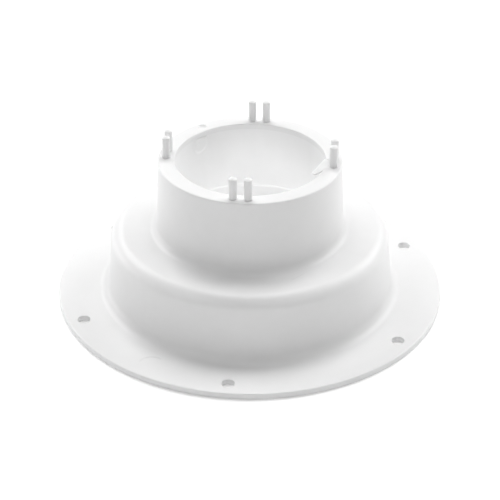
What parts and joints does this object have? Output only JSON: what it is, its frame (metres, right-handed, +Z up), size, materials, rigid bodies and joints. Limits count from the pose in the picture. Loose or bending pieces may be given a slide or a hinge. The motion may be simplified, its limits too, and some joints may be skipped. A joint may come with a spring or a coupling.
{
  "type": "cowl vent base",
  "caption": "Round white plastic deck vent base: a thin screw flange, a stepped drum and a collar with an open duct bore, and pairs of upright locating pins round its rim.",
  "frame": {"origin": "centre of the flange's underside, on the axis of the bore, where the base sits on the deck", "axes": "+Z up along the bore, away from the deck; -Y towards the front pin pair and the front screw hole; +X towards the pin pair with the catch"},
  "size_m": [0.2, 0.2, 0.088],
  "materials": {
    "shell_plastic": "satin white moulding with a fine matte grain",
    "sleeve_plastic": "satin white moulding",
    "catch_plastic": "satin white moulding",
    "pin_plastic": "satin white moulding, slightly smoother at the tips",
    "gasket_foam": "dull closed-cell foam"
  },
  "bodies": {
    "root": {"base_shell": "shell_plastic", "duct_sleeve": "sleeve_plastic", "cap_catch": "catch_plastic", "deck_gasket": "gasket_foam", "cap_pin_front_left": "pin_plastic", "cap_pin_front_right": "pin_plastic", "cap_pin_right_front": "pin_plastic", "cap_pin_right_rear": "pin_plastic", "cap_pin_rear_right": "pin_plastic", "cap_pin_rear_left": "pin_plastic", "cap_pin_left_rear": "pin_plastic", "cap_pin_left_front": "pin_plastic"}
  },
  "joints": []
}
